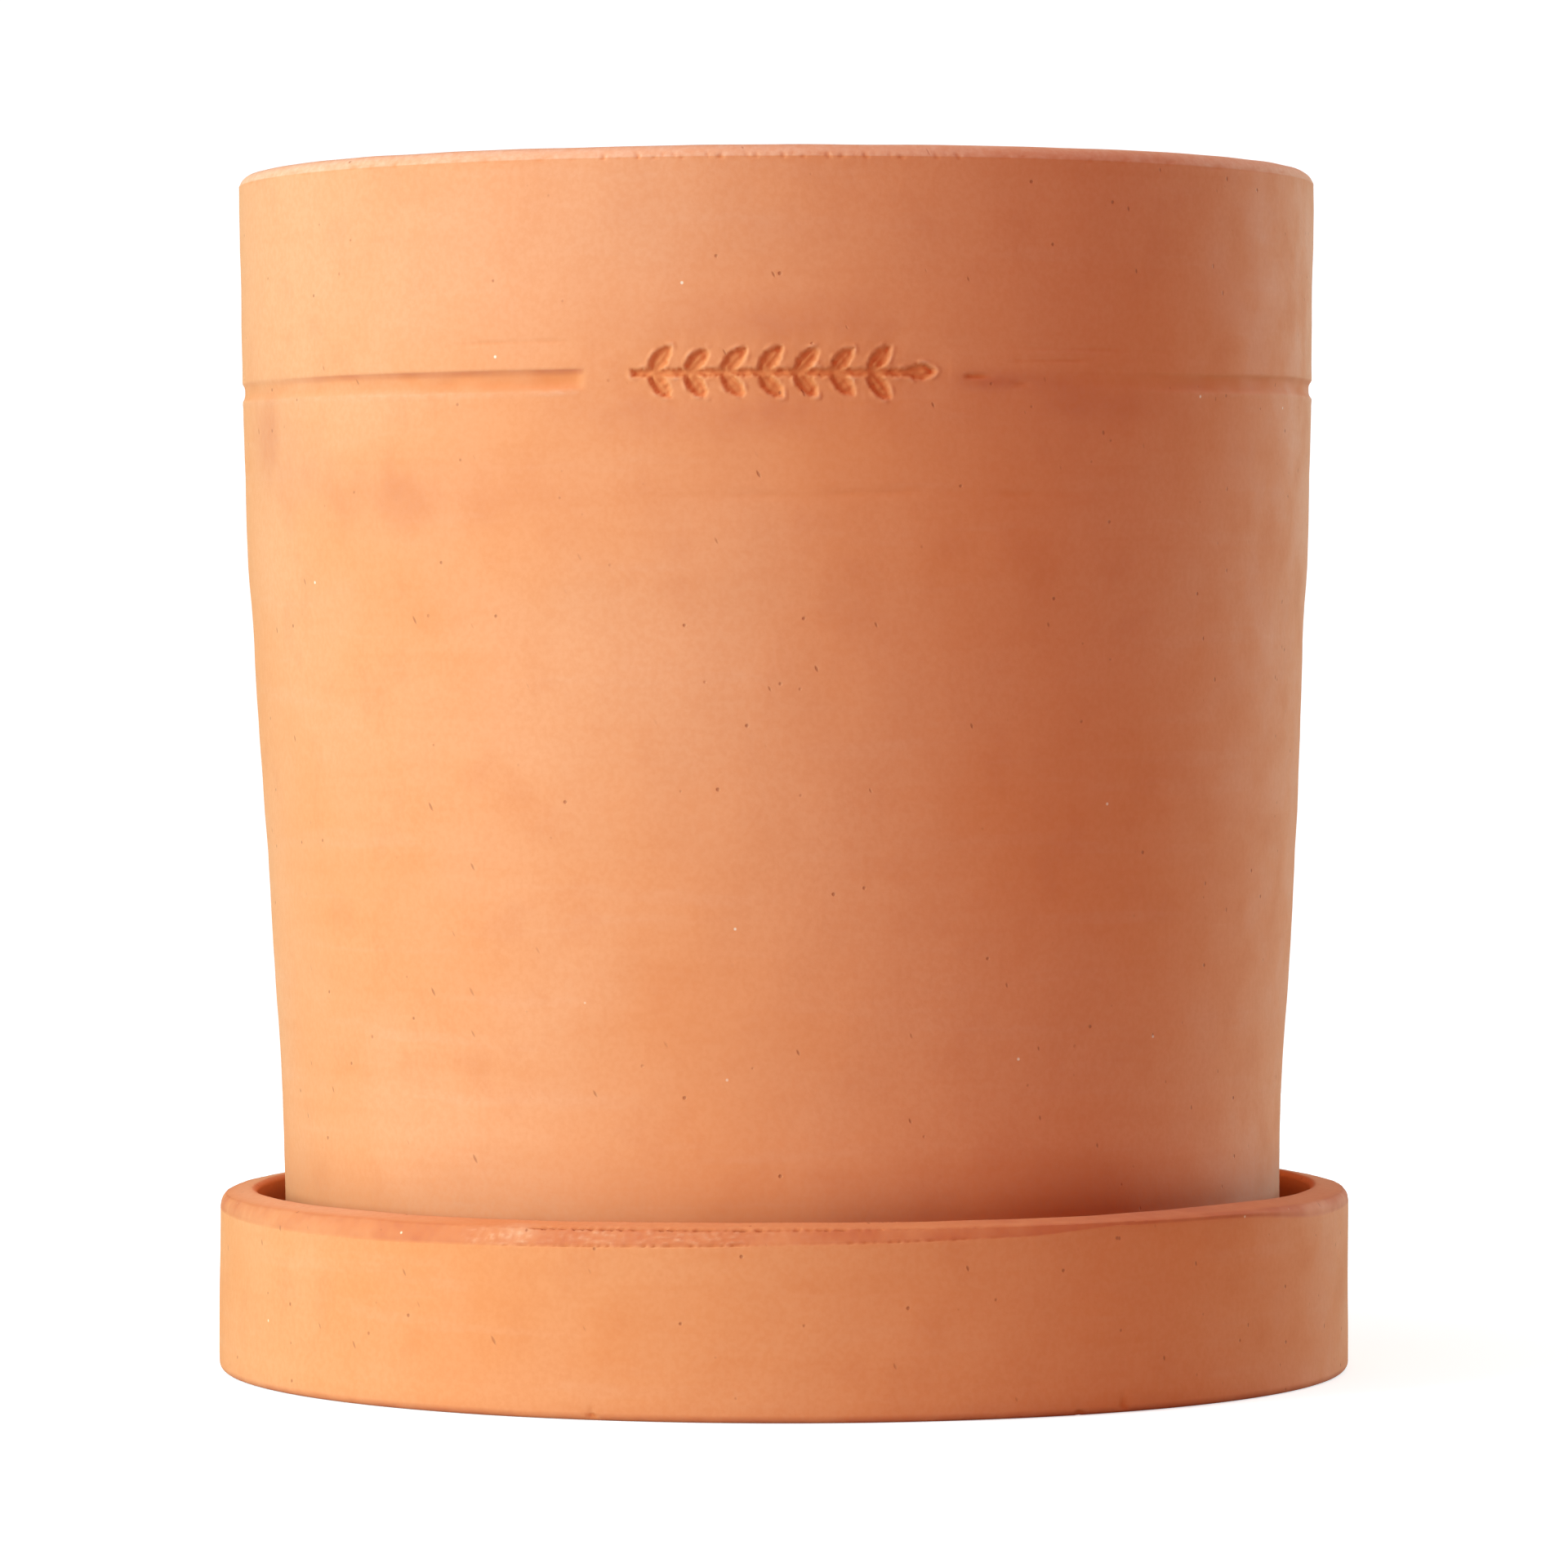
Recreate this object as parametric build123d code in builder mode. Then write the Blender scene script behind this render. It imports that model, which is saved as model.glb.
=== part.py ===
from build123d import *
import os

# A terracotta flower pot standing loose in its saucer, both turned and fired.
# Millimetres, +Z up. The origin is under the middle of the saucer's foot, on the turning axis,
# and the sprig pressed into the pot's collar faces -Y.

# Saucer: a flat floor and an upright wall, its lip bevelled outside in two facets
SAUCER_RADIUS = 84.0
SAUCER_HEIGHT = 27.6
SAUCER_WALL = 5.3
SAUCER_FLOOR = 8.0
SAUCER_FOOT_EASE = 1.2
SAUCER_CORNER = 4.0
LIP_BEVEL_WIDTH = 2.3
LIP_BEVEL_HEIGHT = 3.0
LIP_CREASE_INSET = 1.0
LIP_CREASE_DROP = 0.8
LIP_INNER_EASE = 1.2

# Pot: heights are measured from its own foot, which rests on the saucer's floor
POT_HEIGHT = 169.0
FOOT_RADIUS = 74.1
COLLAR_RADIUS = 78.9
RIM_RADIUS = 79.75
FOOT_BAND = 32.0
COLLAR_START = 112.0
RIM_BAND_START = 153.0
WALL_BLEND = 350.0
RIM_WALL = 7.0
FOOT_WALL = 8.0
POT_FLOOR = 9.0
FLOOR_CORNER = 8.0
RIM_OUTER_EASE = 2.0
RIM_INNER_EASE = 2.6
FOOT_EASE = 1.6
RECESS_RADIUS = 58.0
RECESS_DEPTH = 1.5
DRAIN_RADIUS = 9.0
DRAIN_EASE = 0.8

# Groove: shallow and round-bottomed, running round the collar except across the front
GROOVE_HEIGHT = 137.4
GROOVE_DEPTH = 0.55
GROOVE_WIDTH = 2.5
GROOVE_START_ANGLE = -69.0
GROOVE_SWEEP = 319.0

# Sprig: a stem with leaves on both sides, pressed into the gap that the groove leaves
SPRIG_LENGTH = 41.0
SPRIG_DEPTH = 0.6
STEM_WIDTH = 0.9
LEAF_PAIRS = 7
LEAF_LENGTH = 4.6
LEAF_WIDTH = 1.9
LEAF_ANGLE = 48.0

# Heights and radii that follow from those above
inner_saucer_radius = SAUCER_RADIUS - SAUCER_WALL
pot_top = SAUCER_FLOOR + POT_HEIGHT
pot_floor_top = SAUCER_FLOOR + POT_FLOOR
groove_z = SAUCER_FLOOR + GROOVE_HEIGHT
collar_rise = (GROOVE_HEIGHT - COLLAR_START) / (RIM_BAND_START - COLLAR_START)
groove_wall_radius = COLLAR_RADIUS + (RIM_RADIUS - COLLAR_RADIUS) * collar_rise
groove_cutter_radius = (GROOVE_WIDTH**2 / 4 + GROOVE_DEPTH**2) / (2 * GROOVE_DEPTH)
groove_path_radius = groove_wall_radius - GROOVE_DEPTH + groove_cutter_radius

# Each section is a list of corners (radius from the axis, height) with the rounding of each
SAUCER_SECTION = [
    ((0, 0), 0),
    ((SAUCER_RADIUS, 0), SAUCER_FOOT_EASE),
    ((SAUCER_RADIUS, SAUCER_HEIGHT - LIP_BEVEL_HEIGHT), 0),
    ((SAUCER_RADIUS - LIP_CREASE_INSET, SAUCER_HEIGHT - LIP_CREASE_DROP), 0),
    ((SAUCER_RADIUS - LIP_BEVEL_WIDTH, SAUCER_HEIGHT), 0),
    ((inner_saucer_radius, SAUCER_HEIGHT), LIP_INNER_EASE),
    ((inner_saucer_radius, SAUCER_FLOOR), SAUCER_CORNER),
    ((0, SAUCER_FLOOR), 0),
]
POT_SECTION = [
    ((0, SAUCER_FLOOR), 0),
    ((FOOT_RADIUS, SAUCER_FLOOR), FOOT_EASE),
    ((FOOT_RADIUS, SAUCER_FLOOR + FOOT_BAND), WALL_BLEND),
    ((COLLAR_RADIUS, SAUCER_FLOOR + COLLAR_START), WALL_BLEND),
    ((RIM_RADIUS, SAUCER_FLOOR + RIM_BAND_START), WALL_BLEND),
    ((RIM_RADIUS, pot_top), RIM_OUTER_EASE),
    ((RIM_RADIUS - RIM_WALL, pot_top), RIM_INNER_EASE),
    ((FOOT_RADIUS - FOOT_WALL, pot_floor_top), FLOOR_CORNER),
    ((0, pot_floor_top), 0),
]

os.makedirs("parts", exist_ok=True)

# The saucer
with BuildPart() as saucer:
    with BuildSketch(Plane.XZ):
        with BuildLine():
            FilletPolyline(
                [corner for corner, rounding in SAUCER_SECTION],
                radius=[rounding for corner, rounding in SAUCER_SECTION],
                close=True,
            )
        make_face()
    revolve(axis=Axis.Z)
saucer.part.label = "saucer"
export_step(saucer.part, "parts/saucer.step")

# One leaf of the sprig, its root at the origin and its tip along +X
with BuildSketch() as leaf:
    with BuildLine():
        SagittaArc((0, 0), (LEAF_LENGTH, 0), LEAF_WIDTH / 2)
        SagittaArc((LEAF_LENGTH, 0), (0, 0), LEAF_WIDTH / 2)
    make_face()

# The sprig as a stamp: its outline, reaching inwards no further than the pressed floor
leaf_pitch = SPRIG_LENGTH / (LEAF_PAIRS + 1)
with BuildPart() as sprig:
    with BuildSketch(Plane.XZ.offset(groove_wall_radius - RIM_WALL)):
        with Locations((0, groove_z)):
            SlotOverall(SPRIG_LENGTH, STEM_WIDTH)
        for pair in range(LEAF_PAIRS):
            root = leaf_pitch * (pair + 0.5) - SPRIG_LENGTH / 2
            with Locations((root, groove_z)):
                add(leaf.sketch, rotation=LEAF_ANGLE)
                add(leaf.sketch, rotation=-LEAF_ANGLE)
        with Locations((SPRIG_LENGTH / 2 - LEAF_LENGTH / 2, groove_z)):
            add(leaf.sketch)
    extrude(amount=2 * RIM_WALL)
    with Locations((0, 0, groove_z)):
        Cylinder(groove_wall_radius - SPRIG_DEPTH, SPRIG_LENGTH, mode=Mode.SUBTRACT)

# The pot
with BuildPart() as pot:
    with BuildSketch(Plane.XZ):
        with BuildLine():
            FilletPolyline(
                [corner for corner, rounding in POT_SECTION],
                radius=[rounding for corner, rounding in POT_SECTION],
                close=True,
            )
        make_face()
    revolve(axis=Axis.Z)

    # A shallow recess leaves the foot standing on a ring
    with BuildSketch(Plane.XY.offset(SAUCER_FLOOR)):
        Circle(RECESS_RADIUS)
    extrude(amount=RECESS_DEPTH, mode=Mode.SUBTRACT)

    # The drain hole, its edges eased above and below
    with Locations((0, 0, pot_floor_top)):
        Hole(DRAIN_RADIUS, depth=POT_FLOOR)
    drain_edges = pot.edges().filter_by(
        lambda edge: edge.geom_type == GeomType.CIRCLE and edge.radius < DRAIN_RADIUS + DRAIN_EASE
    )
    fillet(drain_edges, radius=DRAIN_EASE)

    # The groove, with a round end on each side of the sprig
    with BuildSketch(Plane.XZ.rotated((0, 0, GROOVE_START_ANGLE), ordering=Extrinsic.XYZ)):
        with Locations((groove_path_radius, groove_z)):
            Circle(groove_cutter_radius)
    revolve(axis=Axis.Z, revolution_arc=GROOVE_SWEEP, mode=Mode.SUBTRACT)
    with Locations((0, 0, groove_z)):
        with PolarLocations(groove_path_radius, 2, GROOVE_START_ANGLE, GROOVE_SWEEP, endpoint=True):
            Sphere(groove_cutter_radius, mode=Mode.SUBTRACT)

    add(sprig.part, mode=Mode.SUBTRACT)
pot.part.label = "pot"
export_step(pot.part, "parts/pot.step")
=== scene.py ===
from math import cos, pi, radians, sin
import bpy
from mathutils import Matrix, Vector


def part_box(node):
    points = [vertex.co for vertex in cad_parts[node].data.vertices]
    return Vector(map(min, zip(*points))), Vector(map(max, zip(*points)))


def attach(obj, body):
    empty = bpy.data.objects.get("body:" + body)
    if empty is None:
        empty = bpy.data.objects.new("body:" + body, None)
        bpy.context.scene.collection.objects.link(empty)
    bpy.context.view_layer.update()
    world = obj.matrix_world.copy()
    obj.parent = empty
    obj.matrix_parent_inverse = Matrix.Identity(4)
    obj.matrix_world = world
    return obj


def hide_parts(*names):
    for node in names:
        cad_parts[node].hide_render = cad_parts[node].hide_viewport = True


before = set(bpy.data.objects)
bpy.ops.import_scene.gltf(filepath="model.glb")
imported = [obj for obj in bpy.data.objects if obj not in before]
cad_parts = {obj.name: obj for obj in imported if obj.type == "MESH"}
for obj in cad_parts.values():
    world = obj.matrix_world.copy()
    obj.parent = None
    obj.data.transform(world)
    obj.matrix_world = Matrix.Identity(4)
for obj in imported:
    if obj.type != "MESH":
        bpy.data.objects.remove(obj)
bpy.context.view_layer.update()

from types import SimpleNamespace

import bpy
import numpy as np
from mathutils import Vector

# A terracotta pot standing in its saucer, in metres, +Z up. Both pieces are turned: each is a grid
# of points, with columns round the axis and rows along its outline. Angles round a piece are
# counted from the front, where the sprig is, and grow towards +X. Heights are above the piece's foot.
MM = 0.001
FRONT = radians(-90.0)

# Pot: its outer wall as rows of (height, how far inside the rim's radius), in mm
POT_LOW, POT_HIGH = (Vector(corner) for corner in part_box("pot"))
RIM_RADIUS = POT_HIGH.x
POT_HEIGHT = POT_HIGH.z - POT_LOW.z
WALL = np.array([
    (0, 5.7), (24, 5.7), (33, 5.45), (42, 4.95), (50, 4.3), (64, 3.65), (78, 2.8), (96, 1.85),
    (103, 1.7), (112, 0.87), (122, 0.75), (131, 0.5), (146, 0.25), (154, 0.25), (160, 0.03), (169, 0),
]) * MM
WALL_BLEND = 4 * MM
RIM_CREASE = 1.6 * MM
RIM_CREASE_TURN = 20
RIM_OUTER_EASE = 2.1 * MM
RIM_INNER_EASE = 2.6 * MM
RIM_WALL = 7 * MM
FOOT_WALL = 8 * MM
POT_FLOOR = 9 * MM
FLOOR_CORNER = 8 * MM
FOOT_EASE = 1.6 * MM
RECESS_RADIUS = 58 * MM
RECESS_DEPTH = 1.5 * MM
DRAIN_RADIUS = 9 * MM
DRAIN_EASE = 0.8 * MM
LEAN = radians(-0.42)
RIM_TILT = radians(0.17)

# The sprig and the groove round the collar. The groove is uneven, with a gap across the front: at
# angles in degrees, its depth, the height of its middle and its width, in mm
COLLAR_MARK_HEIGHT = 137.4 * MM
GROOVE = np.array([
    (-180, 0.5, 137.0, 2.6), (-90, 0.4, 136.8, 2.6), (-62, 0.3, 136.6, 2.9), (-40, 0.5, 136.5, 3.1),
    (-20.6, 0.62, 136.8, 3.0), (-19.7, 0, 136.8, 3.0), (26, 0, 136.9, 2.6), (30, 0.07, 136.9, 2.6),
    (40, 0.1, 136.9, 2.6), (48, 0.4, 136.9, 2.6), (90, 0.5, 137.0, 2.6), (180, 0.5, 137.0, 2.6),
])

# Its bowl goes by this power of the distance from its middle, and the ridge along its lower edge
# stands this share of its depth proud
GROOVE_BOWL = 2.6
GROOVE_RIDGE = 0.07

# Thin marks in the clay near the groove: from and to in degrees, then height, width, depth in mm
SCRATCHES = [
    (19.3, 21.6, 136.9, 0.6, 0.32),
    (24.4, 26.2, 135.9, 0.8, 0.16),
    (24.9, 25.6, 139.2, 0.6, 0.3),
    (26, 35, 139.4, 0.45, 0.12),
    (25, 44, 141.0, 0.5, 0.1),
    (-36, -22, 141.8, 0.5, 0.1),
    (-8, 37, 120.7, 0.9, 0.1),
]

# Rows up the pot's outer wall: how far apart they are, and the stretches where they lie closer, as
# (middle, half of its length, fade at its ends, how far apart)
ROW_STEP = 2.8 * MM
CLOSE_ROWS = [
    (COLLAR_MARK_HEIGHT, 4.6 * MM, 2 * MM, 0.23 * MM),
    (120.7 * MM, 0.8 * MM, 1.5 * MM, 0.4 * MM),
    (POT_HEIGHT - RIM_CREASE, 0.5 * MM, 1.5 * MM, 0.15 * MM),
]

# Columns round each piece, in degrees: how far apart they are, and the spans across the front where
# they lie closer, as (half of the span, how far apart)
POT_COLUMN_STEP = 1.8
POT_CLOSE_COLUMNS = [(17, 0.2), (46, 0.7)]
SAUCER_COLUMN_STEP = 1.1
SAUCER_CLOSE_COLUMNS = [(38, 0.3)]
COLUMN_FADE = 5

# Sprig: a stem with pairs of leaves, pressed into the clay
SPRIG_LENGTH = 41 * MM
SPRIG_DEPTH = 0.6 * MM
STEM_WIDTH = 0.9 * MM
LEAF_PAIRS = 7
LEAF_LENGTH = 4.6 * MM
LEAF_WIDTH = 2.0 * MM
LEAF_ANGLE = radians(48)
PRESS_EDGE = 0.24 * MM
BURR_HEIGHT = 0.1 * MM
BURR_AWAY = 0.42 * MM
DENT_DEPTH = 0.09 * MM
VEIN_HEIGHT = 0.16 * MM

# Saucer
SAUCER_HIGH = Vector(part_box("saucer")[1])
SAUCER_RADIUS = SAUCER_HIGH.x
SAUCER_WALL = 5.7 * MM
SAUCER_FLOOR = POT_LOW.z
SAUCER_FOOT_EASE = 1.2 * MM
SAUCER_CORNER = 4 * MM
SAUCER_MIDDLE = 0.5 * MM
LIP_CREASE_DROP = 0.75 * MM
LIP_BEVEL_WIDTH = 1.0 * MM
LIP_BEVEL_HEIGHT = 2.1 * MM
LIP_INNER_EASE = 1.0 * MM
LIP_LINE_DEPTH = 0.34 * MM
SCUFF_HEIGHT = 0.05 * MM
ROUND_OVER = 0.25 * MM

# The lip is uneven: at angles in degrees, its height in mm and how much of the bevel it has. Both
# are averaged over LIP_SMOOTHING columns on each side.
LIP_SMOOTHING = 7
LIP = np.array([
    (-180, 27.5, 0.8), (-88, 26.9, 0.85), (-64, 26.9, 1.1), (-42, 27.0, 1.2), (-11, 27.4, 1.0),
    (12, 27.6, 0.8), (25, 27.7, 0.65), (33, 27.7, 0.2), (50, 27.6, 0.2), (65, 27.3, 0.8),
    (88, 27.5, 0.75), (180, 27.5, 0.8),
])

# Wear and painted light of the lip, 0 to 1: at angles in degrees, the line along its crease, the line
# under its bevel (both also painted darker as painted shade), how scuffed the bevel is and how pale the
# top is, partly worn, partly painted highlight, strongest on the left where the key light falls
LIP_WEAR_AND_SHADING = np.array([
    (-180, 0.15, 0.2, 0, 0.4), (-80, 0.15, 0.2, 0, 1), (-50, 0.15, 0.2, 0, 1), (-33, 0.1, 0.1, 0, 0.2),
    (-30, 0.1, 0.3, 1, 0), (-25.5, 0.2, 0.9, 1, 0), (-24, 0.9, 0.5, 0.3, 0), (-17, 1, 0.9, 1, 0),
    (-15, 0.8, 0.9, 0.3, 0), (-12, 1, 1, 0.9, 0), (-4.5, 0.9, 1, 0.9, 0), (-3, 0.9, 0.1, 0.2, 0),
    (4, 0.7, 0.2, 0.1, 0), (8, 0.3, 0.7, 0, 0), (17, 0.2, 0.4, 0, 0), (24, 0.1, 0.1, 0, 0),
    (60, 0.15, 0.2, 0, 0), (85, 0.15, 0.2, 0, 0.4), (180, 0.15, 0.2, 0, 0.4),
])

# Nicks in the saucer's foot: angle in degrees, height, radius and depth in mm
FOOT_NICKS = [
    (-18.5, 0.7, 0.6, 0.35), (29.5, 0.5, 0.6, 0.35), (34.5, 1.0, 0.7, 0.35), (-52, 0.5, 0.5, 0.25),
]

# Soft patches: angle in degrees, height, width across and up in mm, strength. Blooms are paler and
# smudges are redder than the clay round them. The last smudge, low round the pot's foot inside the
# saucer, and the lip's patch on its top right, away from the lights, are painted shade.
BLOOMS = [(-28, 156, 46, 20, 0.5), (-8, 96, 20, 34, 0.15)]
SMUDGES_AND_FOOT_SHADE = [
    (-68, 129, 10, 7, 0.6), (-60, 124, 4, 3, 0.4), (-2, 144.5, 16, 2.5, 0.5), (-3, 131.5, 18, 2.5, 0.65),
    (30, 133, 22, 3, 0.35), (24, 136.3, 8, 1.4, 0.9), (-40, 121, 26, 5, 0.4), (6, 8, 90, 5, 0.3),
]
LIP_BLOOMS = [(-26.5, 26, 2.6, 1.5, 0.8)]
LIP_SHADE_PATCHES = [(35, 27.7, 34, 1.2, 1.2)]

# Painted shade on the pot's foot, by the saucer's lip, 0 to 1: how strong all round and how much more
# on one side, the middle of that side in degrees, away from the key light, and the heights up to which
# it is full and where it ends
FOOT_SHADE_ALL_ROUND = 0.25
FOOT_SHADE_ONE_SIDE = 0.28
FOOT_SHADE_SIDE_MIDDLE = 52
FOOT_SHADE_FULL = 18 * MM
FOOT_SHADE_END = 30 * MM

# Where the clay is cut this deep it has its full darker colour: marks, the rim's chips, foot nicks
MARK_DEEP = 0.4 * MM
CHIP_DEEP = 0.25 * MM
NICK_DEEP = 0.3 * MM

# Where it stands this proud it has its full paler colour
MARK_PALE = 0.14 * MM

# Points of each piece that lie further out than this are on its outside
POT_OUTSIDE = RIM_RADIUS - 6.6 * MM
SAUCER_OUTSIDE = SAUCER_RADIUS - 3 * MM
FAR_BELOW = -10 * MM


# Sections: each function returns rows of (radius, height) along a piece's outline

def line(start, end, count):
    """Rows from start up to, but not including, end."""
    steps = np.linspace(0, 1, count, endpoint=False)[:, None]
    return np.array(start) + (np.array(end) - np.array(start)) * steps


def arc(centre, radius, from_degrees, to_degrees, count):
    """Rows round an arc, up to but not including its end."""
    turns = np.radians(np.linspace(from_degrees, to_degrees, count, endpoint=False))
    return np.array(centre) + radius * np.stack([np.cos(turns), np.sin(turns)], axis=1)


def falloff(distance, flat, fade):
    """1 within flat, then a smooth fall to 0 over fade."""
    t = np.clip((distance - flat) / fade, 0, 1)
    return 1 - t * t * (3 - 2 * t)


def spaced(values, density):
    """Picks values so that they lie as close together as density says, in steps for each unit."""
    total = np.concatenate([[0], np.cumsum((density[1:] + density[:-1]) / 2 * np.diff(values))])
    count = int(round(total[-1]))
    return np.interp(np.linspace(0, total[-1], count + 1), total, values)


def wall_radius(height):
    """The pot's outer radius at a height above its foot, its straight stretches blended."""
    offsets = np.linspace(-1, 1, 9) * WALL_BLEND
    return RIM_RADIUS - np.mean([np.interp(height + o, WALL[:, 0], WALL[:, 1]) for o in offsets], axis=0)


def wall_heights():
    """Heights of the outer wall's rows: close together where the groove, sprig and crease are."""
    heights = np.linspace(FOOT_EASE, POT_HEIGHT - RIM_CREASE, 8000)
    density = np.full_like(heights, 1 / ROW_STEP)
    for middle, flat, fade, step in CLOSE_ROWS:
        density = np.maximum(density, falloff(np.abs(heights - middle), flat, fade) / step)
    return spaced(heights, density)


def pot_section():
    """The pot's closed outline, from its foot up the outside, over the rim and down to the hole."""
    heights = wall_heights()
    wall = np.stack([wall_radius(heights), heights], axis=1)
    top, rim, under = POT_HEIGHT, RIM_RADIUS, RECESS_DEPTH
    inner_top = rim - RIM_WALL
    foot = rim - WALL[0, 1]
    inner_foot = foot - FOOT_WALL
    rows = [
        wall,
        arc((rim - RIM_OUTER_EASE, top - RIM_OUTER_EASE), RIM_OUTER_EASE, RIM_CREASE_TURN, 90, 9),
        line((rim - RIM_OUTER_EASE, top), (inner_top + RIM_INNER_EASE, top), 3),
        arc((inner_top + RIM_INNER_EASE, top - RIM_INNER_EASE), RIM_INNER_EASE, 90, 178, 7),
        line((inner_top, top - RIM_INNER_EASE), (inner_foot, POT_FLOOR + FLOOR_CORNER), 44),
        arc((inner_foot - FLOOR_CORNER, POT_FLOOR + FLOOR_CORNER), FLOOR_CORNER, 0, -90, 7),
        line((inner_foot - FLOOR_CORNER, POT_FLOOR), (DRAIN_RADIUS + DRAIN_EASE, POT_FLOOR), 16),
        arc((DRAIN_RADIUS + DRAIN_EASE, POT_FLOOR - DRAIN_EASE), DRAIN_EASE, 90, 180, 4),
        line((DRAIN_RADIUS, POT_FLOOR - DRAIN_EASE), (DRAIN_RADIUS, under + DRAIN_EASE), 3),
        arc((DRAIN_RADIUS + DRAIN_EASE, under + DRAIN_EASE), DRAIN_EASE, 180, 270, 4),
        line((DRAIN_RADIUS + DRAIN_EASE, under), (RECESS_RADIUS - DRAIN_EASE, under), 6),
        line((RECESS_RADIUS - DRAIN_EASE, under), (RECESS_RADIUS, 0), 3),
        line((RECESS_RADIUS, 0), (foot - FOOT_EASE, 0), 3),
        arc((foot - FOOT_EASE, FOOT_EASE), FOOT_EASE, -90, 0, 5),
    ]
    return np.concatenate(rows)


def saucer_section(top, bevel):
    """The saucer's outline from the middle of its foot out, up, over the lip and back in."""
    radius, ease, corner = SAUCER_RADIUS, SAUCER_FOOT_EASE, SAUCER_CORNER
    inner = radius - SAUCER_WALL
    crease = (radius - LIP_BEVEL_WIDTH * bevel, top - LIP_CREASE_DROP)
    low = (radius, crease[1] - 0.1 * MM - LIP_BEVEL_HEIGHT * bevel)
    under = (radius, low[1] - 0.5 * MM)
    over = (crease[0] - 0.3 * MM, crease[1] + 0.13 * MM)
    crown = inner + LIP_INNER_EASE
    rows = [
        line((SAUCER_MIDDLE, 0), (radius - ease, 0), 12),
        arc((radius - ease, ease), ease, -90, 0, 7),
        line((radius, ease), under, 14),
        line(under, low, 3),
        line(low, crease, 9),
        line(crease, over, 3),
        line(over, (crown, top), 5),
        arc((crown, top - LIP_INNER_EASE), LIP_INNER_EASE, 90, 180, 9),
        line((inner, top - LIP_INNER_EASE), (inner, SAUCER_FLOOR + corner), 9),
        arc((inner - corner, SAUCER_FLOOR + corner), corner, 0, -90, 7),
        line((inner - corner, SAUCER_FLOOR), (SAUCER_MIDDLE, SAUCER_FLOOR), 20),
        [(SAUCER_MIDDLE, SAUCER_FLOOR)],
    ]
    return np.concatenate(rows)


def columns(close_columns, plain_step):
    """Angles of a piece's columns, closer together across the front."""
    angles = np.linspace(-pi, pi, 40000)
    density = np.full_like(angles, 1 / radians(plain_step))
    for half, step in close_columns:
        close = falloff(np.abs(angles), radians(half), radians(COLUMN_FADE))
        density = np.maximum(density, close / radians(step))
    return spaced(angles, density)[:-1]


# Relief: how far the clay stands out of the plain turned shape, in metres. Every wander has a seed
# of its own, so the pieces come out the same each time.

def sines(seed, count, u, v, u_waves, v_length):
    """A seeded smooth wander of about unit size, periodic in the angle u, over height v."""
    draw = np.random.default_rng(seed)
    total = np.zeros(np.broadcast(u, v).shape)
    for _ in range(count):
        around = draw.integers(u_waves[0], u_waves[1] + 1)
        along = 2 * pi / draw.uniform(*v_length) * draw.choice([-1, 1])
        total += np.sin(around * u + along * v + draw.uniform(0, 2 * pi))
    return total * (2 / count) ** 0.5


def leaf_distance(u, v, length, width):
    """Signed distance, roughly, to a pointed leaf with its root at the origin and its tip at +u."""
    round_radius = (length**2 / 4 + width**2 / 4) / width
    offset = round_radius - width / 2
    return np.hypot(u - length / 2, np.abs(v) + offset) - round_radius


def sprig_shape(u, v):
    """Signed distance to the sprig on the unrolled wall, and how near a leaf's vein is, 0 to 1."""
    draw = np.random.default_rng(5)
    half = (SPRIG_LENGTH - STEM_WIDTH) / 2
    distance = np.hypot(np.maximum(np.abs(u) - half, 0), v) - STEM_WIDTH / 2
    vein = np.zeros_like(u)
    pitch = SPRIG_LENGTH / (LEAF_PAIRS + 1)
    leaves = [((pair + 0.5) * pitch - SPRIG_LENGTH / 2, side * LEAF_ANGLE)
              for pair in range(LEAF_PAIRS) for side in (1, -1)]
    leaves.append((SPRIG_LENGTH / 2 - LEAF_LENGTH / 2, 0))
    for root, slant in leaves:
        slant += radians(draw.uniform(-4, 4))
        length = LEAF_LENGTH * draw.uniform(0.93, 1.05)
        along = (u - root) * cos(slant) + v * sin(slant)
        across = v * cos(slant) - (u - root) * sin(slant)
        distance = np.minimum(distance, leaf_distance(along, across, length, LEAF_WIDTH))
        inside = (along > 0.15 * length) & (along < 0.8 * length)
        vein = np.maximum(vein, falloff(np.abs(across), 0.04 * MM, 0.3 * MM) * inside)
    return distance, vein


def groove_across(angle, height):
    """How far above the groove's middle a point is, in half widths of the groove."""
    middle, width = (np.interp(np.degrees(angle), GROOVE[:, 0], GROOVE[:, k]) * MM for k in (2, 3))
    wander = 0.1 * MM * sines(11, 5, angle, 0 * angle, (1, 9), (1, 2))
    return (height - middle - wander) / (width / 2)


def groove_relief(angle, height):
    """The groove: a trough with a round bottom, and a low ridge pushed up along its lower edge."""
    depth = np.interp(np.degrees(angle), GROOVE[:, 0], GROOVE[:, 1]) * MM
    across = groove_across(angle, height)
    bowl = np.clip(1 - np.abs(across) ** GROOVE_BOWL, 0, 1)
    uneven = 1 + 0.12 * sines(12, 9, angle, height, (20, 90), (3 * MM, 9 * MM))
    ragged = 1 + 0.4 * sines(13, 7, angle, height, (9, 60), (1, 2))
    ridge = GROOVE_RIDGE * falloff(np.abs(across + 1.25), 0.05, 0.4) * ragged
    return depth * (ridge - bowl * uneven)


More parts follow.
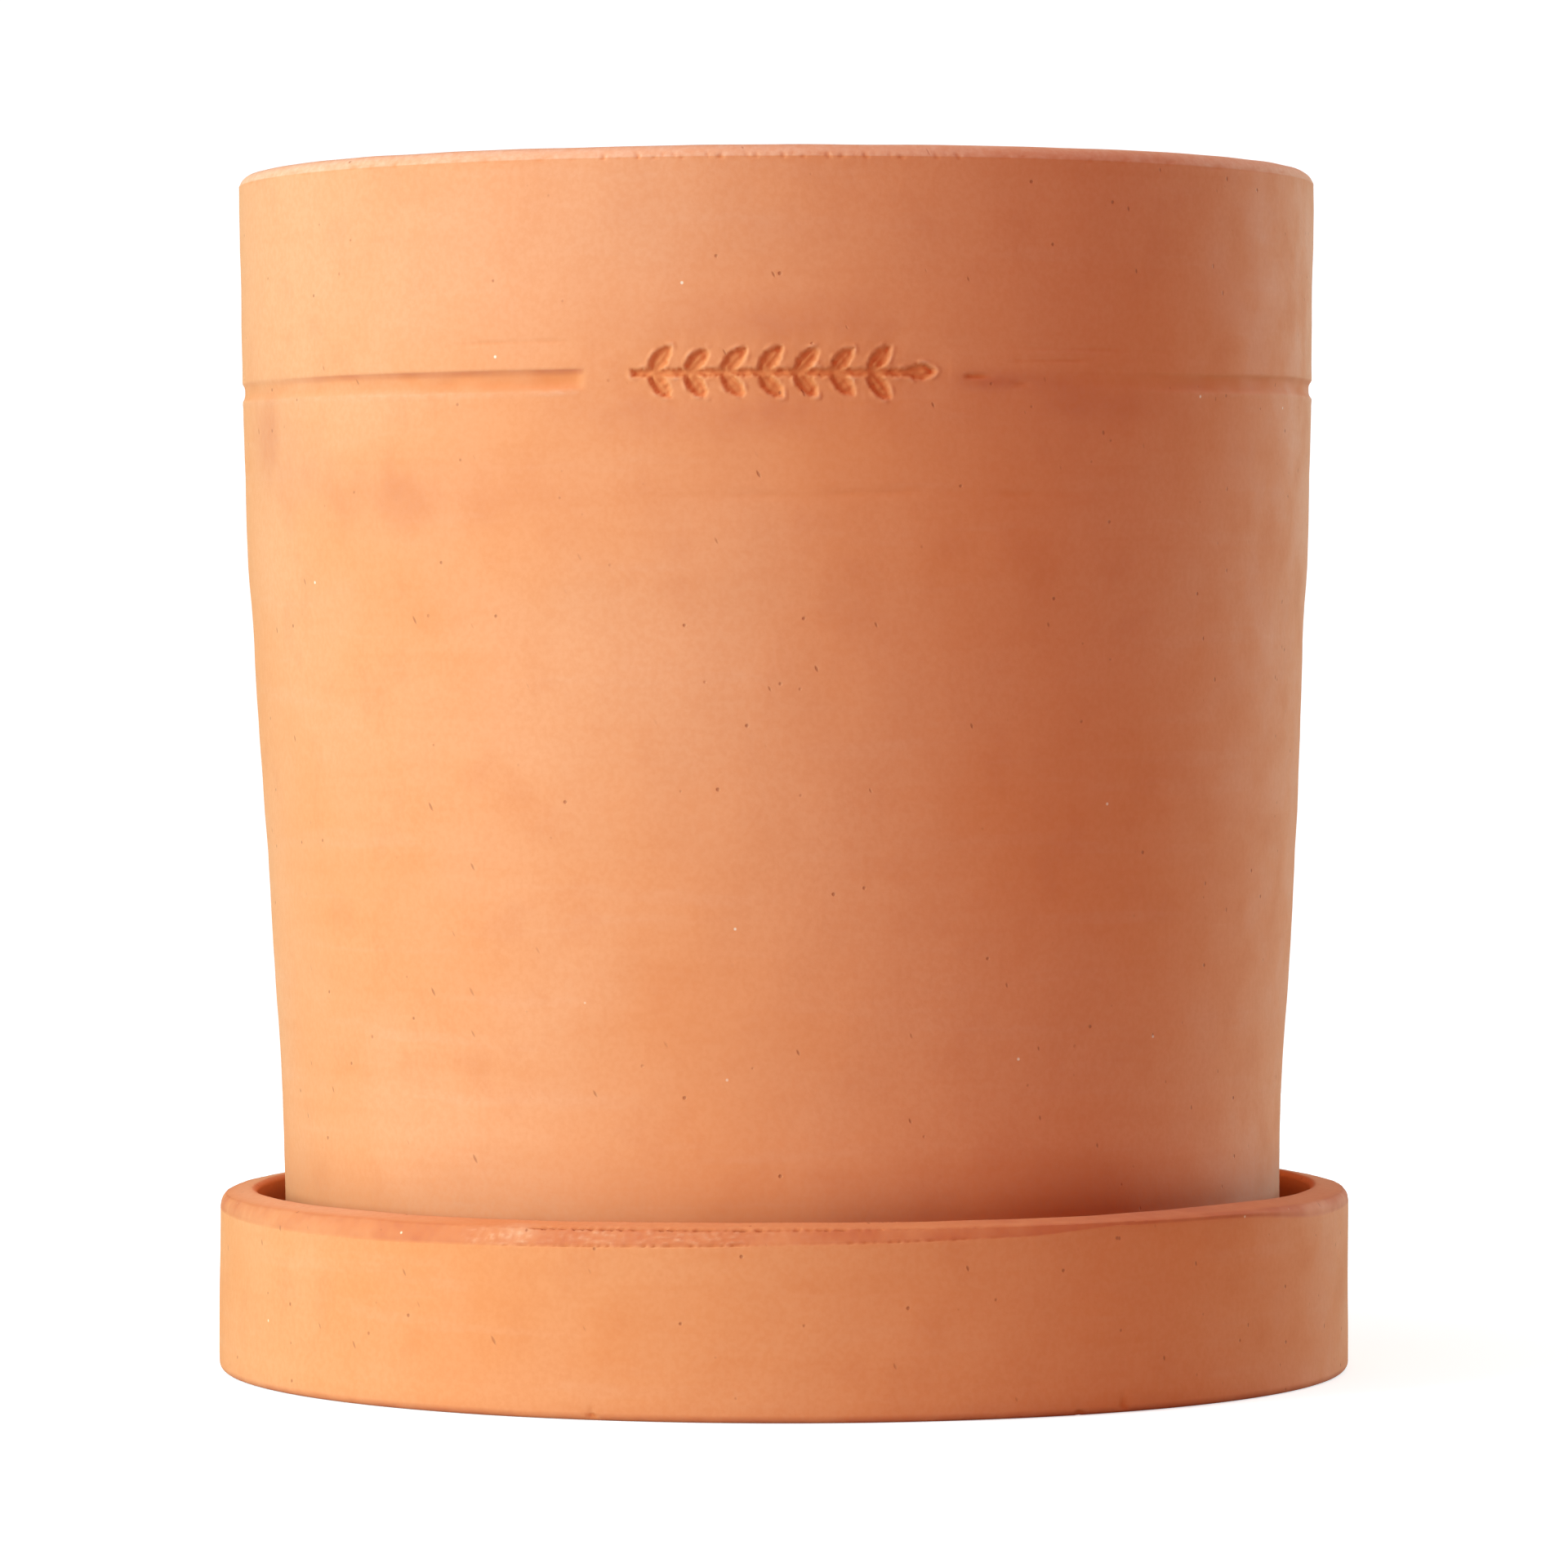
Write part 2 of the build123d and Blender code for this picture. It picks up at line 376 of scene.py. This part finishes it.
def scratch_relief(angle, height):
    """The scratches, each thinning out towards its ends and broken here and there."""
    degrees = np.degrees(angle)
    relief = np.zeros_like(angle)
    for start, end, middle, width, depth in SCRATCHES:
        length = end - start
        wander = 0.12 * sines(int(middle * 10), 4, angle, 0 * angle, (3, 20), (1, 2))
        across = falloff(np.abs(height / MM - middle - wander), 0, width)
        share = falloff(np.abs(degrees - (start + end) / 2), length * 0.32, length * 0.3)
        broken = np.clip(0.8 + 0.4 * sines(int(middle), 6, angle, height, (15, 70), (1, 2)), 0, 1.2)
        relief -= depth * MM * across * share * broken
    return relief


def sprig_relief(angle, height):
    """The pressed sprig: its floor and veins, a broken burr round it and the clay dished about it."""
    u, v = angle * RIM_RADIUS, height - COLLAR_MARK_HEIGHT
    relief = np.zeros_like(u)
    near = (np.abs(u) < SPRIG_LENGTH / 2 + 4 * MM) & (np.abs(v) < 8 * MM)
    angle, height = angle[near], height[near]
    distance, vein = sprig_shape(u[near], v[near])
    ragged = 0.07 * MM * sines(21, 14, angle, height, (150, 700), (0.8 * MM, 3 * MM))
    pressed = falloff(distance + ragged, -PRESS_EDGE, 2 * PRESS_EDGE)
    depth = SPRIG_DEPTH * (1 + 0.1 * sines(22, 12, angle, height, (80, 400), (1 * MM, 4 * MM)))
    burr = BURR_HEIGHT * falloff(np.abs(distance - BURR_AWAY), 0.05 * MM, 0.35 * MM)
    broken = np.clip(0.5 + 0.7 * sines(23, 9, angle, height, (60, 300), (2 * MM, 6 * MM)), 0, 1.6)
    dent = -DENT_DEPTH * falloff(distance, 0, 4 * MM)
    relief[near] = -depth * pressed + VEIN_HEIGHT * vein * pressed + burr * broken + dent
    return relief


def wall_wobble(angle, height):
    """The hand-made unevenness of the whole wall: slow swellings and faint turned rings."""
    slow = 0.1 * sines(31, 6, angle, height, (1, 4), (60 * MM, 200 * MM))
    rings = 0.022 * sines(32, 9, 0 * angle, height, (0, 1), (5 * MM, 22 * MM))
    uneven = 0.02 * sines(33, 12, angle, height, (5, 40), (12 * MM, 50 * MM))
    return (slow + rings + uneven) * MM


def crease_nicks(angle, height):
    """Small chips along the crease under the pot's rim."""
    near = falloff(np.abs(height - POT_HEIGHT + RIM_CREASE), 0.1 * MM, 0.55 * MM)
    ragged = sines(41, 16, angle, height, (60, 420), (1 * MM, 6 * MM))
    return -0.11 * MM * near * np.clip(ragged - 0.3, 0, 1.5)


def inner_rings(height):
    """Throwing rings left by fingers on the inside of the pot."""
    return 0.16 * MM * sines(51, 5, 0 * height, height, (0, 1), (7 * MM, 16 * MM))


# Meshes

def grid_mesh(name, points, closed):
    """A mesh from a grid of points: columns round the axis, rows along the outline."""
    around, along = points.shape[:2]
    index = np.arange(around * along).reshape(around, along)
    after = np.roll(index, -1, axis=0)
    if closed:
        faces = np.stack([index, after, np.roll(after, -1, axis=1), np.roll(index, -1, axis=1)], axis=-1)
    else:
        faces = np.stack([index[:, :-1], after[:, :-1], after[:, 1:], index[:, 1:]], axis=-1)
    faces = faces.reshape(-1, 4).tolist()
    if not closed:
        faces.append(index[::-1, 0].tolist())
        faces.append(index[:, -1].tolist())
    mesh = bpy.data.meshes.new(name)
    mesh.from_pydata(points.reshape(-1, 3).tolist(), [], faces)
    mesh.polygons.foreach_set("use_smooth", [True] * len(mesh.polygons))
    mesh.update()
    piece = bpy.data.objects.new(name, mesh)
    bpy.context.scene.collection.objects.link(piece)
    return piece


def paint(piece, name, values):
    """Stores one number for each point, for the material to read by name."""
    attribute = piece.data.attributes.new(name, "FLOAT", "POINT")
    attribute.data.foreach_set("value", np.clip(values, 0, 1).astype(np.float32).ravel())


def turn(section, angles, relief):
    """Grid of points: the section turned to each angle, pushed out along its normal by relief."""
    radius = np.broadcast_to(section[..., 0], relief.shape)
    height = np.broadcast_to(section[..., 1], relief.shape)
    tangent = np.stack([np.gradient(radius, axis=1), np.gradient(height, axis=1)], axis=-1)
    tangent /= np.linalg.norm(tangent, axis=-1, keepdims=True) + 1e-12
    radius = radius + relief * tangent[..., 1]
    height = height - relief * tangent[..., 0]
    direction = FRONT + angles[:, None]
    return np.stack([radius * np.cos(direction), radius * np.sin(direction), height], axis=-1)


def lean(points):
    """Leans the pot to one side and tips its rim, both in proportion to height."""
    points[..., 2] += points[..., 0] * sin(RIM_TILT) * points[..., 2] / POT_HEIGHT
    points[..., 0] += points[..., 2] * sin(LEAN)
    points[..., 2] += POT_LOW.z


def places(section, angles, outer_radius):
    """The angle, radius and height of every point of a piece, and which points are outside."""
    shape = (len(angles), section.shape[-2])
    at = SimpleNamespace()
    at.angle = np.broadcast_to(angles[:, None], shape)
    at.radius = np.broadcast_to(section[..., 0], shape)
    at.height = np.broadcast_to(section[..., 1], shape)
    at.outside = at.radius > outer_radius
    return at


def patches(table, at):
    """The soft patches of a table, 0 to about 1."""
    total = np.zeros_like(at.angle)
    for degrees, middle, across, up, strength in table:
        u = (at.angle - radians(degrees)) * RIM_RADIUS / (across * MM)
        v = (at.height - middle * MM) / (up * MM)
        total += strength * np.exp(-(u**2 + v**2))
    return total


def foot_painted_shade(at):
    """How much painted shade the pot's foot has, 0 to 1: shade by the saucer's lip, more on the side away
    from the key light, with an uneven upper edge.
    """
    side = falloff(np.abs(np.degrees(at.angle) - FOOT_SHADE_SIDE_MIDDLE), 12, 50)
    uneven = 1 * MM * sines(81, 6, at.angle, at.height, (2, 14), (20 * MM, 60 * MM))
    drawn_up = falloff(at.height + uneven, FOOT_SHADE_FULL, FOOT_SHADE_END - FOOT_SHADE_FULL)
    return (FOOT_SHADE_ALL_ROUND + FOOT_SHADE_ONE_SIDE * side) * drawn_up


def lit_left_share(at):
    """1 on the pot's left, where the key light falls, falling to 0 on its right."""
    return falloff(at.angle, 0, radians(30))


def groove_painted_shadow(at, groove):
    """Painted shadow under the groove's upper edge: strong left of the sprig, on the lit side, faint
    elsewhere.
    """
    upper_edge = falloff(np.abs(groove_across(at.angle, at.height) - 0.7), 0.1, 0.4)
    cut = groove < -0.06 * MM
    strength = 0.1 + 0.8 * lit_left_share(at)
    return upper_edge * cut * strength * falloff(-at.angle, radians(48), radians(22))


def paint_pot(pot, at, groove, marks, nicks):
    """Paints where the pot is darker, paler and redder, with painted light and painted shadow in the
    groove left of the sprig, a painted highlight on the rim and painted shade at the foot.
    """
    # The rounded top of the rim is painted paler: partly bloom, partly painted highlight from light above
    rim_bloom_and_highlight = falloff(np.abs(at.height - POT_HEIGHT), RIM_CREASE, 0.15 * MM)
    rim_bloom_and_highlight = rim_bloom_and_highlight * (at.radius > RIM_RADIUS - RIM_WALL - MM)
    # The groove's darker colour is halved on the lit left side: painted light in the groove there
    depth = 0.5 * groove * lit_left_share(at) - marks
    paint(pot, "deep", depth / MARK_DEEP - nicks / CHIP_DEEP)
    # Worn pale raised marks, and the rim's painted highlight
    paint(pot, "pale", rim_bloom_and_highlight + marks / MARK_PALE)
    # Blooms, and the rim's painted highlight
    paint(pot, "bloom_and_highlight", patches(BLOOMS, at) * at.outside + rim_bloom_and_highlight)
    # Smudges, with painted shade low at the foot, and the groove's painted shadow
    paint(pot, "stain_and_shade", patches(SMUDGES_AND_FOOT_SHADE, at) * at.outside + groove_painted_shadow(at, groove))
    # Painted shade round the foot
    paint(pot, "painted_shade", foot_painted_shade(at) * at.outside)


def make_pot():
    section = pot_section()
    angles = columns(POT_CLOSE_COLUMNS, POT_COLUMN_STEP)
    at = places(section, angles, POT_OUTSIDE)
    angle, height = at.angle, at.height
    inside = ~at.outside & (height > POT_FLOOR + FLOOR_CORNER)
    groove = groove_relief(angle, height) * at.outside
    marks = groove + (scratch_relief(angle, height) + sprig_relief(angle, height)) * at.outside
    nicks = crease_nicks(angle, height) * at.outside
    relief = marks + nicks + wall_wobble(angle, height) * at.outside + inner_rings(height) * inside
    relief *= falloff(-height, -FOOT_EASE, FOOT_EASE)
    points = turn(section, angles, relief)
    lean(points)
    pot = grid_mesh("thrown_pot", points, closed=True)
    paint_pot(pot, at, groove, marks, nicks)
    finish_piece(pot, "pot", clay("pot_clay", 0.0, PLAIN_TINT))


def lip_line(angle, distance, strength, seed):
    """A thin ragged line cut into the lip, where distance from it is 0."""
    ragged = sines(seed, 18, angle, 0 * angle, (30, 480), (0.6 * MM, 2 * MM))
    near = falloff(np.abs(distance), 0.02 * MM, 0.24 * MM)
    return near * np.clip(0.6 + 0.6 * ragged, 0, 1.6) * strength


def lip_scuffs(angle, distance, strength):
    """Long low scuffs on the bevel, about 0 with a spread of 1; distance is up from its middle."""
    band = falloff(np.abs(distance), 0.7 * MM, 0.5 * MM)
    long = sines(62, 14, angle, distance, (15, 160), (0.5 * MM, 1.3 * MM))
    short = sines(64, 14, angle, distance, (200, 480), (1 * MM, 5 * MM))
    return band * strength * (0.6 * long + 0.6 * short)


def nick_relief(angle, height):
    """The nicks in the saucer's foot, each a slanted dent."""
    relief = np.zeros_like(angle)
    for degrees, middle, size, depth in FOOT_NICKS:
        u = (angle - radians(degrees)) * SAUCER_RADIUS / MM
        v = height / MM - middle
        relief -= depth * MM * falloff(np.hypot(u * 0.7 + v * 0.5, v), 0.1 * size, size)
    return relief


def saucer_swell(angle, height):
    """The saucer's slow unevenness, fading to none under its foot."""
    swell = 0.09 * MM * sines(71, 7, angle, height, (1, 6), (30 * MM, 90 * MM))
    swell += 0.02 * MM * sines(72, 9, angle, height, (6, 40), (9 * MM, 30 * MM))
    return swell * falloff(-height, -2 * MM, 2 * MM)


def smoothed(values):
    """Values round the saucer, averaged with their neighbours."""
    weights = np.hanning(2 * LIP_SMOOTHING + 1)
    wrapped = np.pad(values, LIP_SMOOTHING, mode="wrap")
    return np.convolve(wrapped, weights / weights.sum(), mode="valid")


def lip_places(at, tops, bevels):
    """How far up every point is from the parts of the lip, and how worn the lip is there. Points on
    the inside are put far below the crease, so that no wear reaches them."""
    lip = SimpleNamespace()
    lip.from_top = at.height - tops[:, None]
    creases = (tops - LIP_CREASE_DROP)[:, None]
    lip.from_crease = np.where(at.outside, at.height - creases, FAR_BELOW)
    lip.bevel = (LIP_BEVEL_HEIGHT * bevels)[:, None]
    lip.from_bevel = lip.from_crease + lip.bevel / 2
    lip.crease_wear, lip.edge_wear, lip.scuffed, lip.paled = (
        np.interp(np.degrees(at.angle), LIP_WEAR_AND_SHADING[:, 0], LIP_WEAR_AND_SHADING[:, k]) for k in (1, 2, 3, 4)
    )
    return lip


def paint_saucer(saucer, at, lip, lines, scuffs, nicks):
    """Paints where the saucer is darker, paler and redder, with painted shade in its cut lines, inside
    it, along its foot's edge and on the lip's top right, and a painted highlight on the lip's top.
    """
    bevel_zone = falloff(np.abs(lip.from_bevel), lip.bevel / 2 - 0.1 * MM, 0.35 * MM)
    # Painted shade along the bottom edge of the saucer's foot, by the floor
    foot_edge_shade = falloff(at.height, 0.3 * MM, 1.2 * MM) * at.outside
    # The lip's paler top: partly wear, partly painted highlight, strongest on the left where the key
    # light falls
    crown = falloff(np.abs(lip.from_top), 0.3 * MM, 0.5 * MM) * lip.paled
    # Inside the saucer, below its lip: painted shade in the gap round the pot
    inside = falloff(at.radius, SAUCER_RADIUS - SAUCER_WALL, 0.6 * MM)
    inside = inside * falloff(at.height, SAUCER_HIGH.z - 3 * MM, 2 * MM)
    # The bevel's redder colour, and painted shade along the foot's edge
    stain_and_shade = 1.2 * bevel_zone * (1 - 0.4 * lip.scuffed) + 0.9 * foot_edge_shade
    # The nicks' darker colour, and painted shade in the lip's cut lines
    paint(saucer, "deep", -nicks / NICK_DEEP + 1.3 * lines)
    paint(saucer, "pale", 0.45 * scuffs + 0.2 * lip.scuffed * bevel_zone)
    # The lip's bloom patch, and the painted highlight on its top
    paint(saucer, "bloom_and_highlight", patches(LIP_BLOOMS, at) * at.outside + crown)
    # Painted shade inside the saucer and in the lip's cut lines
    paint(saucer, "painted_shade", 0.6 * inside + 0.9 * lines)
    # Redder bevel, with painted shade along the foot's edge and on the lip's top right
    paint(saucer, "stain_and_shade", stain_and_shade + patches(LIP_SHADE_PATCHES, at))


def make_saucer():
    angles = columns(SAUCER_CLOSE_COLUMNS, SAUCER_COLUMN_STEP)
    tops = smoothed(np.interp(np.degrees(angles), LIP[:, 0], LIP[:, 1]) * MM)
    bevels = smoothed(np.interp(np.degrees(angles), LIP[:, 0], LIP[:, 2]))
    section = np.array([saucer_section(top, bevel) for top, bevel in zip(tops, bevels)])
    at = places(section, angles, SAUCER_OUTSIDE)
    lip = lip_places(at, tops, bevels)
    lines = lip_line(at.angle, lip.from_crease, lip.crease_wear, 61)
    lines = lines + 0.7 * lip_line(at.angle, lip.from_crease + lip.bevel, lip.edge_wear, 63)
    scuffs = lip_scuffs(at.angle, lip.from_bevel, lip.scuffed)
    nicks = nick_relief(at.angle, at.height) * at.outside
    away = 1 - falloff(np.abs(np.degrees(at.angle)), 30, 20)
    round_over = ROUND_OVER * away * falloff(np.abs(lip.from_bevel), 0, 0.7 * lip.bevel)
    relief = scuffs * SCUFF_HEIGHT - lines * LIP_LINE_DEPTH + round_over + nicks
    relief += saucer_swell(at.angle, at.height)
    relief[:, -1] = 0
    saucer = grid_mesh("thrown_saucer", turn(section, angles, relief), closed=False)
    paint_saucer(saucer, at, lip, lines, scuffs, nicks)
    finish_piece(saucer, "saucer", clay("saucer_clay", 3.0, SAUCER_TINT))


def finish_piece(piece, body, material):
    """Gives a piece its material and the body that it rides, and hides the imported part that it stands
    for.
    """
    piece.data.materials.append(material)
    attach(piece, body)
    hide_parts(body)


# Materials, as nodes. Each helper adds a node to a tree and returns the socket that it gives.

CLAY = (0.74, 0.236, 0.089, 1)
BLOOM = (0.75, 0.266, 0.117, 1)
DEEP_CLAY = (0.67, 0.172, 0.045, 1)
RED_CLAY = (0.57, 0.135, 0.058, 1)
PALE_CLAY = (0.79, 0.37, 0.23, 1)
# The colour of painted shade: at the pot's foot, inside the saucer and in the lip's cut lines
SHADE_CLAY = (0.42, 0.10, 0.036, 1)
PIT = (0.36, 0.09, 0.035, 1)
LIME = (0.90, 0.74, 0.58, 1)
PLAIN_TINT = (1, 1, 1, 1)
SAUCER_TINT = (0.98, 0.95, 0.84, 1)
SLIT_TURN = (0.3, 0.45, 0)
CLAY_SPECULAR = 0.28

# A Mix node's colour sockets, which share their names with its others
MIX_FIRST = 6
MIX_SECOND = 7
MIX_RESULT = 2


def add(tree, kind, inputs, output=0, **settings):
    """A node with its settings. Each input is a socket to link from or a plain value."""
    node = tree.nodes.new(kind)
    for name, value in settings.items():
        setattr(node, name, value)
    for key, value in inputs.items():
        if isinstance(value, bpy.types.NodeSocket):
            tree.links.new(value, node.inputs[key])
        else:
            node.inputs[key].default_value = value
    return node.outputs[output]


def noise(tree, vector, scale, detail=4.0, roughness=0.55):
    inputs = {"Vector": vector, "Scale": scale, "Detail": detail, "Roughness": roughness}
    return add(tree, "ShaderNodeTexNoise", inputs)


def stretch(tree, vector, scale):
    return add(tree, "ShaderNodeVectorMath", {0: vector, 1: scale}, operation="MULTIPLY")


def maths(tree, operation, first, second):
    return add(tree, "ShaderNodeMath", {0: first, 1: second}, operation=operation)


def remap(tree, value, low, high, to_low=0.0, to_high=1.0):
    inputs = {"Value": value, "From Min": low, "From Max": high, "To Min": to_low, "To Max": to_high}
    return add(tree, "ShaderNodeMapRange", inputs, interpolation_type="SMOOTHSTEP")


def mix(tree, factor, first, second, blend="MIX"):
    inputs = {0: factor, MIX_FIRST: first, MIX_SECOND: second}
    return add(tree, "ShaderNodeMix", inputs, MIX_RESULT, data_type="RGBA", blend_type=blend)


def painted(tree, name):
    return add(tree, "ShaderNodeAttribute", {}, "Fac", attribute_name=name)


def spots(tree, vector, scale, radius, share):
    """Scattered spots: a share of the cells of a Voronoi pattern has one, radius in cell widths."""
    cells = tree.nodes.new("ShaderNodeTexVoronoi")
    cells.inputs["Scale"].default_value = scale
    tree.links.new(vector, cells.inputs["Vector"])
    chance = add(tree, "ShaderNodeSeparateColor", {0: cells.outputs["Color"]})
    chosen = remap(tree, chance, 1 - share, 1 - share * 0.6)
    near = remap(tree, cells.outputs["Distance"], radius, radius * 0.35)
    return maths(tree, "MULTIPLY", near, chosen)


def clay_patterns(tree, vector):
    """The patterns of the clay, each a socket: coarse to fine, then pits, slits and lime specks."""
    pattern = SimpleNamespace()
    turned = {0: vector, "Rotation": SLIT_TURN}
    turned = add(tree, "ShaderNodeVectorRotate", turned, rotation_type="EULER_XYZ")
    pattern.cloud = noise(tree, vector, 19, 3)
    pattern.mottle = noise(tree, vector, 95, 3, 0.6)
    pattern.grain = noise(tree, vector, 1100, 2, 0.6)
    pattern.streak = noise(tree, stretch(tree, vector, (1, 1, 11)), 26, 3, 0.6)
    pattern.wear = noise(tree, stretch(tree, vector, (1, 1, 2.4)), 420, 4, 0.7)
    pattern.pits = spots(tree, vector, 230, 0.08, 0.7)
    pattern.slits = spots(tree, stretch(tree, turned, (1.7, 1.7, 0.5)), 170, 0.075, 0.9)
    pattern.lime = spots(tree, vector, 150, 0.045, 0.25)
    return pattern


def plain_colour(tree, pattern):
    """The clay's own colour: cloudy bloom, turning streaks and redder mottling."""
    colour = mix(tree, remap(tree, pattern.cloud, 0.36, 0.64), CLAY, BLOOM)
    colour = mix(tree, remap(tree, pattern.streak, 0.52, 0.74, 0, 0.15), colour, DEEP_CLAY)
    colour = mix(tree, remap(tree, pattern.streak, 0.46, 0.28, 0, 0.1), colour, PALE_CLAY)
    return mix(tree, remap(tree, pattern.mottle, 0.5, 0.74, 0, 0.15), colour, RED_CLAY)


def painted_colour(tree, pattern, colour):
    """The colour changed where the piece is painted: redder stains, paler bloom and wear, darker cuts,
    and the painted highlights and painted shade that these attributes also carry.
    """
    patchy = remap(tree, pattern.mottle, 0.3, 0.62, 0.35, 0.9)
    worn = remap(tree, pattern.wear, 0.36, 0.64, 0.15, 0.8)
    # How far the painted shade darkens, patchy with the mottle
    shade_share = remap(tree, pattern.mottle, 0.3, 0.62, 0.85, 1.0)
    for name, share, paint_colour in (
        ("stain_and_shade", patchy, RED_CLAY), ("bloom_and_highlight", 0.5, PALE_CLAY), ("pale", worn, PALE_CLAY),
        ("deep", 0.8, DEEP_CLAY), ("painted_shade", shade_share, SHADE_CLAY),
    ):
        amount = maths(tree, "MULTIPLY", painted(tree, name), share)
        colour = mix(tree, amount, colour, paint_colour)
    return colour


def speckled_colour(tree, pattern, colour):
    """The colour with its grain, pits, slits and lime specks."""
    colour = mix(tree, remap(tree, pattern.grain, 0.32, 0.68, 0.0, 0.22), colour, DEEP_CLAY)
    for spot, share, spot_colour in (
        (pattern.pits, 0.65, PIT), (pattern.slits, 0.6, PIT), (pattern.lime, 0.7, LIME),
    ):
        colour = mix(tree, maths(tree, "MULTIPLY", spot, share), colour, spot_colour)
    return colour


def clay_bump(tree, pattern):
    """The clay's fine relief, from heights in millimetres."""
    height = maths(tree, "MULTIPLY", pattern.grain, 0.02)
    for source, amount in (
        (pattern.mottle, 0.05), (pattern.streak, 0.03), (pattern.wear, 0.012),
        (pattern.pits, -0.08), (pattern.slits, -0.06),
    ):
        height = maths(tree, "ADD", height, maths(tree, "MULTIPLY", source, amount))
    return add(tree, "ShaderNodeBump", {"Height": height, "Distance": MM, "Strength": 1.0})


def clay(name, seed, tint):
    """Unglazed fired clay, its patterns moved by the seed and its colour tinted."""
    material = bpy.data.materials.new(name)
    material.use_nodes = True
    tree = material.node_tree
    shader = tree.nodes["Principled BSDF"]
    place = add(tree, "ShaderNodeTexCoord", {}, "Object")
    vector = add(tree, "ShaderNodeVectorMath", {0: place, 1: (seed, seed, seed)}, operation="ADD")
    pattern = clay_patterns(tree, vector)
    colour = painted_colour(tree, pattern, plain_colour(tree, pattern))
    colour = mix(tree, 1.0, speckled_colour(tree, pattern, colour), tint, "MULTIPLY")
    tree.links.new(colour, shader.inputs["Base Color"])
    tree.links.new(clay_bump(tree, pattern), shader.inputs["Normal"])
    roughness = remap(tree, pattern.mottle, 0.3, 0.7, 0.78, 0.92)
    tree.links.new(roughness, shader.inputs["Roughness"])
    shader.inputs["Specular IOR Level"].default_value = CLAY_SPECULAR
    return material


# The studio: a long lens a little above the pot's middle, soft boxes and a pale floor

CAMERA_DISTANCE = 1.12
CAMERA_HEIGHT = 0.1106
AIM_HEIGHT = 0.0867
LENS = 172.5
SENSOR_WIDTH = 36.0

# Soft boxes: degrees round from the front, height, distance and size in metres, colour, watts
SOFT_BOXES = [
    ("key", -66, 0.5, 1.5, 1.1, (0.54, 0.93, 1.0), 45.5),
    ("fill", 5, 0.9, 1.4, 0.8, (1.0, 0.3, 0.15), 8.2),
    ("back", 130, 0.45, 1.5, 0.8, (0.66, 0.98, 1.0), 23.0),
    ("top", -56, 2.0, 0.54, 1.2, (0.85, 0.85, 1.0), 14.5),
]

# How bright the floor and the world are seen, and how much light the world gives
FLOOR_SEEN = 0.6
SKY_SEEN = 1.1
SKY_LIGHT = 0.1

FLOOR_HALF = 0.65
FLOOR_COLOUR = (0.7, 0.7, 0.7, 1)
FLOOR_ROUGHNESS = 0.7
FLOOR_SPECULAR = 0.2
WHITE = (1, 1, 1, 1)


def make_camera():
    data = bpy.data.cameras.new("camera")
    data.lens = LENS
    data.sensor_width = SENSOR_WIDTH
    camera = bpy.data.objects.new("camera", data)
    camera.location = (0, -CAMERA_DISTANCE, CAMERA_HEIGHT)
    direction = Vector((0, 0, AIM_HEIGHT)) - camera.location
    camera.rotation_euler = direction.to_track_quat("-Z", "Y").to_euler()
    bpy.context.scene.collection.objects.link(camera)
    bpy.context.scene.camera = camera


def make_soft_box(name, degrees, height, distance, size, colour, watts):
    data = bpy.data.lights.new(name, "AREA")
    data.size = size
    data.color = colour
    data.energy = watts
    light = bpy.data.objects.new(name, data)
    turned = FRONT + radians(degrees)
    light.location = (distance * cos(turned), distance * sin(turned), height)
    aim = Vector((0, 0, POT_HEIGHT / 2)) - light.location
    light.rotation_euler = aim.to_track_quat("-Z", "Y").to_euler()
    bpy.context.scene.collection.objects.link(light)


def make_floor():
    """A pale table, seen brighter than the light that it throws back on the pot."""
    mesh = bpy.data.meshes.new("floor")
    corners = [(-1, -1, 0), (1, -1, 0), (1, 1, 0), (-1, 1, 0)]
    mesh.from_pydata([Vector(corner) * FLOOR_HALF for corner in corners], [], [(0, 1, 2, 3)])
    material = bpy.data.materials.new("floor")
    material.use_nodes = True
    shader = material.node_tree.nodes["Principled BSDF"]
    shader.inputs["Base Color"].default_value = FLOOR_COLOUR
    shader.inputs["Roughness"].default_value = FLOOR_ROUGHNESS
    shader.inputs["Specular IOR Level"].default_value = FLOOR_SPECULAR
    shader.inputs["Emission Color"].default_value = WHITE
    seen = add(material.node_tree, "ShaderNodeLightPath", {}, "Is Camera Ray")
    glow = maths(material.node_tree, "MULTIPLY", seen, FLOOR_SEEN)
    material.node_tree.links.new(glow, shader.inputs["Emission Strength"])
    mesh.materials.append(material)
    floor = bpy.data.objects.new("floor", mesh)
    bpy.context.scene.collection.objects.link(floor)


def make_world():
    """White all round, seen as white but lighting the pot only softly."""
    world = bpy.data.worlds.new("studio")
    world.use_nodes = True
    tree = world.node_tree
    seen = add(tree, "ShaderNodeLightPath", {}, "Is Camera Ray")
    strength = remap(tree, seen, 0.0, 1.0, SKY_LIGHT, SKY_SEEN)
    tree.links.new(strength, tree.nodes["Background"].inputs["Strength"])
    tree.nodes["Background"].inputs["Color"].default_value = WHITE
    bpy.context.scene.world = world


make_camera()
make_world()
make_floor()
for box in SOFT_BOXES:
    make_soft_box(*box)
make_pot()
make_saucer()
bpy.context.scene.view_settings.view_transform = "Standard"
